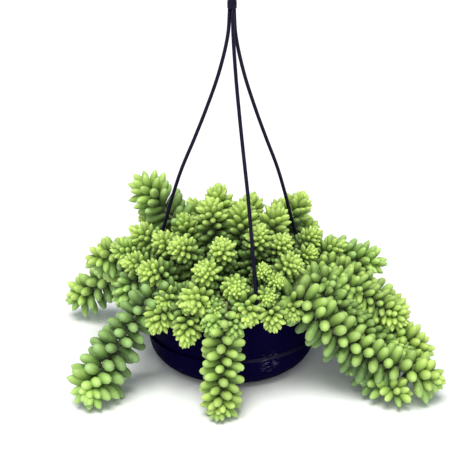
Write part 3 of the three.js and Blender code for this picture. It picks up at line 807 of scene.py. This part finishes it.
# %% [markdown]
# A trailing stem climbs over the rim, hangs, and lies on the table. Its bends follow what it lies
# on, so here the points are given one by one, after the leaf length. Eight tails keep to their
# solids' routes. The first two leave theirs over the last stretch, by about nine millimetres at
# most, so that their heads lie lower.

# %% Trailing stems
TAILS = [
    (19, [(-4, -76, 73), (-4, -84, 98), (-6, -102, 110), (-8, -118, 92), (-10, -129, 62),
          (-11, -138, 36), (-12, -145, 19), (-13, -153, 11)]),
    (21, [(-64, -47, 73), (-69, -52, 98), (-80, -62, 106), (-97, -74, 92), (-117, -88, 64),
          (-137, -102, 38), (-147, -116, 23), (-150, -128, 18)]),
    (19, [(-66, 34, 73), (-71, 40, 98), (-84, 55, 108), (-110, 72, 92), (-142, 84, 62),
          (-172, 92, 36), (-198, 96, 25)]),
    (17, [(-74, 8, 73), (-78, 9, 98), (-96, 12, 114), (-130, 18, 116), (-160, 22, 104)]),
    (20, [(54, -54, 73), (60, -65, 98), (70, -79, 107), (90, -90, 90), (118, -95, 66),
          (150, -102, 47), (186, -108, 34), (226, -114, 25)]),
    (15, [(76, -38, 73), (83, -41, 105), (101, -48, 111), (121, -56, 84), (134, -70, 42),
          (152, -96, 21), (178, -128, 17)]),
    (19, [(76, -4, 73), (84, -6, 98), (104, -8, 113), (132, -16, 106), (160, -28, 82),
          (186, -42, 58)]),
    (18, [(74, -20, 73), (82, -22, 98), (100, -28, 110), (124, -44, 98), (148, -58, 78),
          (176, -70, 58), (208, -80, 44)]),
    (18, [(44, 64, 73), (50, 74, 98), (60, 92, 109), (72, 118, 84), (80, 140, 51), (86, 160, 31),
          (93, 184, 22)]),
    (18, [(-46, 66, 73), (-50, 75, 98), (-58, 92, 109), (-68, 116, 84), (-74, 138, 51),
          (-79, 156, 31), (-85, 180, 22)]),
]
SPAN_STEPS = 10  # pieces of line between two points of a route


def trailing_line(points):
    """The middle line of a stem given by points, in metres."""
    return smooth_route([Vector(p) * MM for p in points], SPAN_STEPS)


for i, (leaf, points) in enumerate(TAILS):
    routes[f"tail_{i + 1}"] = (leaf, trailing_line(points))
print("with the tails:", len(routes))

# %% [markdown]
# A real plant closes its gaps with side shoots. They could be had by swelling the leaves near a
# gap, but that looks bloated. So nine thin shoots and one more head on the right are added. They
# stand for no solid, and stay inside the box of the solids.

# %% Added shoots
ADDED = {
    "filler_right": (15, [(78, -30, 73), (86, -36, 100), (104, -52, 103), (128, -68, 82),
                          (152, -78, 62), (182, -88, 46)]),
    "filler_left": (17, [(-73, 20, 73), (-79, 21, 99), (-94, 25, 108), (-114, 38, 98),
                         (-138, 42, 82)]),
    "stem_right_5": (17, [(74, -24, 73), (86, -28, 100), (120, -42, 106), (150, -56, 94),
                          (170, -68, 84), (179, -78, 80)]),
    "filler_top": (15, [(-40, 20, 73), (-44, 24, 110), (-50, 28, 135), (-55, 31, 152)]),
    "filler_left_2": (16, [(-78, -14, 73), (-84, -16, 98), (-98, -22, 106), (-112, -30, 98),
                           (-119, -34, 84)]),
    "filler_right_2": (16, [(76, -38, 73), (83, -43, 99), (108, -64, 95), (140, -80, 66),
                            (170, -88, 46), (206, -97, 34)]),
    "filler_front_1": (13, [(-20, -72, 73), (-20, -86, 98), (-20, -106, 103), (-19, -123, 92)]),
    "filler_front_2": (13, [(10, -76, 73), (9, -90, 98), (4, -110, 101), (1, -125, 89)]),
    "filler_front_4": (13, [(-56, -58, 73), (-58, -64, 96), (-65, -74, 106), (-73, -86, 103)]),
    "filler_front_3": (13, [(56, -62, 73), (59, -72, 98), (63, -84, 104), (64, -98, 96)]),
}
for name, (leaf, points) in ADDED.items():
    routes[name] = (leaf, trailing_line(points))
print("stems in all:", len(routes))

# %% [markdown]
# A leaf that would reach into the pot, the table or a strand is left out. Testing thousands of
# meshes against each other would be slow, so each leaf is tested as three balls along it. The
# pot is known by its radius at each height, and the strands by points along them. The other
# stems are known by theirs too, so that no leaf lies right across a neighbour's stalk.

# %% Room for leaves
POT_WALL = [(0, 66), (5, 80), (18, 91), (38, 96), (87, 100), (95, 100)]  # (height, radius)
MARK_STEP = 4  # between points along a strand or a stem, in millimetres
BALLS_AT = (0.45, 0.65, 0.86)  # of the way from foot to tip
BALL_SHARE, STRAND_SHARE = 0.92, 0.95  # of a leaf's half width, towards the pot and a strand
SINKING = 0.4  # of a ball's radius: how low its middle may come over the mix
FLARE = 0.5  # of a ball's radius: how much higher the flaring wall beside it is read
STALK_ROOM = 1.2  # kept from a neighbour's middle line, in millimetres
LEAF_END, TABLE_ROOM = 1.06, 0.5  # where a leaf ends, and the millimetres kept under it

strand_points = np.array([place for angle in LUG_ANGLES.values()
                          for place, _ in stations_along(strand_line(angle), MARK_STEP * MM)])
axis_points, axis_owner = [], []
for name, (_, line) in routes.items():
    for place, _ in stations_along(line, MARK_STEP * MM):
        axis_points.append(place)
        axis_owner.append(name)
axis_points, axis_owner = np.array(axis_points), np.array(axis_owner)


def ball_is_clear(centre, radius):
    """Whether a ball, in metres, is clear of the table, the pot and the potting mix."""
    x, y, z = (c / MM for c in centre)
    radius = radius / MM
    out = math.hypot(x, y)
    if z < radius:
        return False
    if z > RIM_TOP + radius or (out + radius < RIM_INNER and z > SOIL_TOP + SINKING * radius):
        return True
    heights, reaches = zip(*POT_WALL)
    return out > np.interp(z + FLARE * radius, heights, reaches) + radius


def leaf_has_room(name, foot, tip, radius):
    """Whether a leaf from foot to tip clears what is round it."""
    balls = [foot.lerp(tip, share) for share in BALLS_AT]
    if foot.lerp(tip, LEAF_END).z < TABLE_ROOM * MM:
        return False
    if not all(ball_is_clear(ball, radius * BALL_SHARE) for ball in balls):
        return False
    to_strands = np.linalg.norm(np.array(balls)[:, None] - strand_points[None], axis=2)
    if to_strands.min() < STRAND_SHARE * radius + STRAND_RADIUS * MM:
        return False
    near = np.linalg.norm(axis_points - np.array(balls[1]), axis=1) < radius + STALK_ROOM * MM
    return not (near & (axis_owner != name)).any()


print("points to keep clear of:", len(strand_points) + len(axis_points))

# %% [markdown]
# Leaves change with age. The youngest stand close and upright at the tip. Further back they are
# longer and fatter, stand further apart and lean further out. One set of numbers for the whole
# plant would make it look stamped, so uprights, tails and fillers each have their own, and a
# few stems differ again. Some heads are open: their young leaves are larger and spread sooner.

# %% Leaf habits
LEAVES_PER_LENGTH = {"stem": 16, "tail": 13, "filler": 14}  # on one leaf length of old stem
LEAF_WIDTH = {"stem": 0.38, "tail": 0.48, "filler": 0.44}  # full grown, against its length
LEAF_SCALE = {"stem": 1.24, "tail": 1.27, "filler": 1.2}  # full grown, against the stem's number
OWN_SCALE = {"tail_1": 0.93, "tail_2": 1.12, "tail_6": 1.12, "stem_left_8": 1.15,
             "stem_left_1": 1.1, "stem_front_1": 0.9, "stem_front_7": 1.15, "stem_front_8": 1.1,
             "stem_front_10": 1.15, "stem_front_12": 1.1, "stem_right_1": 0.9,
             "stem_right_2": 0.9, "stem_right_4": 1.15}
THINNER_BACK = {"tail_2": 0.8, "tail_7": 0.72, "tail_8": 0.76}  # size of the leaves furthest back
TIP_SETBACK = {"stem": 0.3, "tail": 0.72, "filler": 0.25}  # of a leaf, from the route's end
OWN_SETBACK = {"tail_1": 0.2, "tail_2": 0.15, "tail_3": 0.72, "tail_5": 0.8, "tail_6": 0.35,
               "tail_7": 0.5, "tail_8": 0.5}
LEAFY_REACH = {"tail_1": 96}  # millimetres of leaves back from its tip; others hide the rest
WIDEST_LEAN = {"stem": 67, "tail": 86, "filler": 67}  # degrees

FRESH_LEAF = {"stem": 0.82, "tail": 0.6, "filler": 0.8}  # size at the very tip
OPENING = 0.24  # how far back, in leaf lengths, leaves have leaned out by two thirds
NEAREST = 0.24  # spacing at the very tip, against full
OPEN_HEADS = ("stem_left_6", "stem_left_8", "stem_right_3", "stem_right_4", "stem_right_5",
              "tail_4", "tail_6", "tail_7", "tail_8")
OPEN_FRESH_LEAF, OPEN_OPENING, OPEN_NEAREST = 0.8, 0.15, 0.34  # the same three, for them

# on upright stems the leaves furthest back reach the darkest colour, which there is painted shade
# deep in the plant
OLDEST = {"stem": 1.0, "tail": 0.6, "filler": 0.9}  # age of the leaves furthest back
OWN_OLDEST = {"tail_2": 0.75, "stem_left_6": 0.6, "stem_left_8": 0.75, "stem_right_4": 0.5,
              "stem_right_5": 0.6}
YOUNGEST = {"stem": 0.0, "tail": 0.0, "filler": 0.35}  # fillers stand in the shade of others
COOLNESS = {"stem": 0.25, "tail": 0.5, "filler": 0.25}  # 0 is a warm green, 1 a cool one
OWN_COOLNESS = {"tail_1": 0.2, "tail_2": 0.95, "tail_3": 0.5, "tail_4": 0.3, "tail_5": 0.35,
                "tail_7": 0.1, "tail_8": 0.15, "filler_left_2": 0.9, "filler_front_1": 0.8,
                "filler_front_2": 0.8, "stem_left_6": 0.6, "stem_left_8": 0.7,
                "stem_right_3": 0.6, "stem_right_4": 1.0}
print("stems with open heads:", len(OPEN_HEADS))

# %% [markdown]
# One leaf is set by a matrix: its foot on the stem's middle line, its length outwards, and its flat
# upper side towards the tip. An instance for each leaf would save memory, but its four numbers
# have to be its own, so the leaf shape is copied into the stem's bmesh and its corners numbered.


# %% Setting a leaf
def ease(value):
    """A soft step from 0 to 1."""
    t = min(1, max(0, value))
    return t * t * (3 - 2 * t)


def spot_on(stations, at):
    """The place and direction at a station number that needn't be whole."""
    (place, way), (ahead, _) = stations[int(at)], stations[min(int(at) + 1, len(stations) - 1)]
    return place.lerp(ahead, at - int(at)), way


def leaf_matrix(foot, way, toward, wide, long):
    """Sets a unit leaf on its foot, pointing toward, with its upper side to the stem's tip."""
    upward = (way - way.dot(toward) * toward).normalized()
    turn = Matrix((upward.cross(toward), upward, toward)).transposed()
    return Matrix.Translation(foot) @ (turn @ Matrix.Diagonal((wide, wide, long))).to_4x4()


def add_leaf(bm, shape, matrix, age, own, coolness):
    """Copies a leaf shape into a bmesh and writes the leaf's numbers on its corners."""
    facts = bm.verts.layers.float_color[LEAF_FACTS]
    first = len(bm.verts)
    bm.from_mesh(shape)
    bm.verts.ensure_lookup_table()
    for corner in bm.verts[first:]:
        corner.co = matrix @ corner.co
        corner[facts] = (age, corner[facts][1], own, coolness)


print("half an ease:", ease(0.5))

# %% [markdown]
# Leaves stand a golden angle apart, so no leaf shades the one before it. Placing them by hand would
# lose that spiral, and a particle system would scatter them, so a loop walks back from the tip
# and sets one after the other. Each stem has its own seeded dice, which make small differences
# and give the same plant each time. Under a tail, leaves that point down are longer, and their
# colour is pushed towards the darkest, coolest green, as painted shade under the tail.

# %% Growing a stem
GOLDEN_ANGLE = math.radians(137.508)
SPIRAL_SWAY = 0.08  # radians
TIP_LEAN, LEAN_SWAY = 5, 6  # degrees
SIZE_SWAY = (0.92, 1.08)
GROWING, SPREADING = 0.5, 1.1  # leaf lengths from the tip until size and spacing are full
AGEING_FROM, AGEING = 0.15, 1.15  # leaf lengths from the tip where age starts, and lasts
THINNING_FROM, THINNING = 0.3, 2  # where leaves get smaller again: from 0.3 of 2 lengths on
SLIMMEST = 0.25  # share of a leaf's width that doesn't shrink with its size
BLUNT_AGE = 0.45
# leaves pointing down under a tail get the darkest, coolest colour, as painted shade
UNDER_LONGER, UNDER_SHADE, UNDER_COOLER = 0.3, 0.45, 0.9
STALK_STEP, STALK_SIDES, STALK_RADIUS, STALK_TIP_RADIUS, STALK_TIP = 3, 8, 2.3, 1.5, 0.9
BARE_FOOT = 8  # millimetres of stalk in the soil


def grow_stem(name, leaf, line):
    """One stem's stalk and leaves as one bmesh, and the number of leaves."""
    dice = random.Random(name)
    bm = bmesh.new()
    bm.verts.layers.float_color.new(LEAF_FACTS)
    kind = name.split("_")[0]
    stations = stations_along(line, STALK_STEP * MM)
    length = sum((b[0] - a[0]).length for a, b in zip(stations, stations[1:])) / MM
    end = length - OWN_SETBACK.get(name, TIP_SETBACK[kind]) * leaf
    leaf *= LEAF_SCALE[kind] * OWN_SCALE.get(name, 1)
    if name in OPEN_HEADS:
        fresh, opening, nearest = OPEN_FRESH_LEAF, OPEN_OPENING, OPEN_NEAREST
    else:
        fresh, opening, nearest = FRESH_LEAF[kind], OPENING, NEAREST
    oldest = OWN_OLDEST.get(name, OLDEST[kind])
    coolness = OWN_COOLNESS.get(name, COOLNESS[kind])
    radii = [(STALK_RADIUS if i < STALK_TIP * len(stations) else STALK_TIP_RADIUS) * MM
             for i in range(len(stations))]
    add_bar(bm, stations, radii, STALK_SIDES, material_index=1)

    across = Vector((0, 0, 1)).cross(line[-1] - line[0]).normalized()
    back, spiral, count = 0.0, dice.uniform(0, 6), 0
    while back < min(end - BARE_FOOT, LEAFY_REACH.get(name, end)):
        age = max(ease((back - AGEING_FROM * leaf) / (AGEING * leaf)) * oldest, YOUNGEST[kind])
        size = (fresh + (1 - fresh) * ease(back / (GROWING * leaf))) * dice.uniform(*SIZE_SWAY)
        thinned = ease(back / (THINNING * leaf) - THINNING_FROM)
        size *= 1 - (1 - THINNER_BACK.get(name, 1)) * thinned
        opened = 1 - math.exp(-back / (opening * leaf))
        lean = math.radians(TIP_LEAN + WIDEST_LEAN[kind] * opened
                            + dice.uniform(-LEAN_SWAY, LEAN_SWAY))
        foot, way = spot_on(stations, (end - back) / length * (len(stations) - 1))
        level = (across - across.dot(way) * way).normalized()
        toward = way * math.cos(lean) + Matrix.Rotation(spiral, 3, way) @ level * math.sin(lean)
        under = max(0, -toward.z) * (kind == "tail")
        long = leaf * size * MM * (1 + UNDER_LONGER * under)
        wide = leaf * LEAF_WIDTH[kind] * (SLIMMEST + (1 - SLIMMEST) * size) * MM
        if leaf_has_room(name, foot, foot + toward * long, wide / 2):
            shape = dice.choice(BLUNT_LEAVES if age > BLUNT_AGE else POINTED_LEAVES)
            add_leaf(bm, shape, leaf_matrix(foot, way, toward, wide, long),
                     age=min(1, age + UNDER_SHADE * under), own=dice.random(),
                     coolness=min(1, coolness + UNDER_COOLER * under))
            count += 1
        back += leaf / LEAVES_PER_LENGTH[kind] * (nearest
                                                  + (1 - nearest) * ease(back / (SPREADING * leaf)))
        spiral += GOLDEN_ANGLE + dice.uniform(-SPIRAL_SWAY, SPIRAL_SWAY)
    return bm, count


print("a leaf turns", round(math.degrees(GOLDEN_ANGLE), 3), "degrees from the last")

# %% [markdown]
# Each stem becomes one piece, as each is a shoot of its own and nearly all stand for a solid of the
# frame. One piece for the whole plant would be simpler to make, but then no stem could be looked
# at or hidden alone.

# %% All the stems
total = 0
for name, (leaf, line) in routes.items():
    stem, count = grow_stem(name, leaf, line)
    solids = [] if name in ADDED else [name]
    finish_piece(f"leafy_{name}", stem, [LEAF_SKIN, STALK_SKIN], "leaf", *solids)
    total += count
print("leaves:", total)

# %% [markdown]
# The table is white and runs on out of sight. A curved backdrop is the studio's way to hide its far
# edge, but its bend shows in views from other sides. A very large flat grid does as well.

# %% Table
TABLE_REACH = 60  # metres from the middle
scene = bpy.context.scene
scene.view_settings.view_transform = "Standard"
table_material, _, _, shader = new_material("white table")
shader.inputs["Base Color"].default_value = (0.96, 0.965, 0.97, 1)
shader.inputs["Roughness"].default_value = 0.9
shader.inputs["Specular IOR Level"].default_value = 0.1
table = bmesh.new()
bmesh.ops.create_grid(table, x_segments=4, y_segments=4, size=TABLE_REACH)
mesh = bpy.data.meshes.new("table")
table.to_mesh(mesh)
table.free()
mesh.materials.append(table_material)
table_piece = bpy.data.objects.new("table", mesh)
scene.collection.objects.link(table_piece)
print("table:", len(mesh.polygons), "faces")

# %% [markdown]
# Light comes from everywhere, as in a light tent: the world is a plain pale blue. Alone it would
# leave the leaves flat. Lamps close by would leave small hot spots, so two very wide suns are
# added. The key is overhead, a little to the front and left, and lays a soft shade under the
# plant; a weaker one lifts the front. Both are a trace warmer than the world.

# %% Light
TENT_COLOUR, TENT_STRENGTH = (0.88, 0.95, 1.13), 0.31
SUN_COLOUR = (1.0, 0.995, 0.95)
SUNS = [("key", (0.10, 0.36, -1), 34, 2.85), ("front", (0.1, 0.9, -0.45), 40, 0.7)]

world = bpy.data.worlds.new("light tent")
world.use_nodes = True
tent = world.node_tree.nodes["Background"]
tent.inputs["Color"].default_value = (*TENT_COLOUR, 1)
tent.inputs["Strength"].default_value = TENT_STRENGTH
scene.world = world
for name, toward, spread, power in SUNS:
    light = bpy.data.objects.new(name, bpy.data.lights.new(name, "SUN"))
    light.data.angle = math.radians(spread)
    light.data.energy = power
    light.data.color = SUN_COLOUR
    light.rotation_euler = Vector(toward).to_track_quat("-Z", "Y").to_euler()
    scene.collection.objects.link(light)
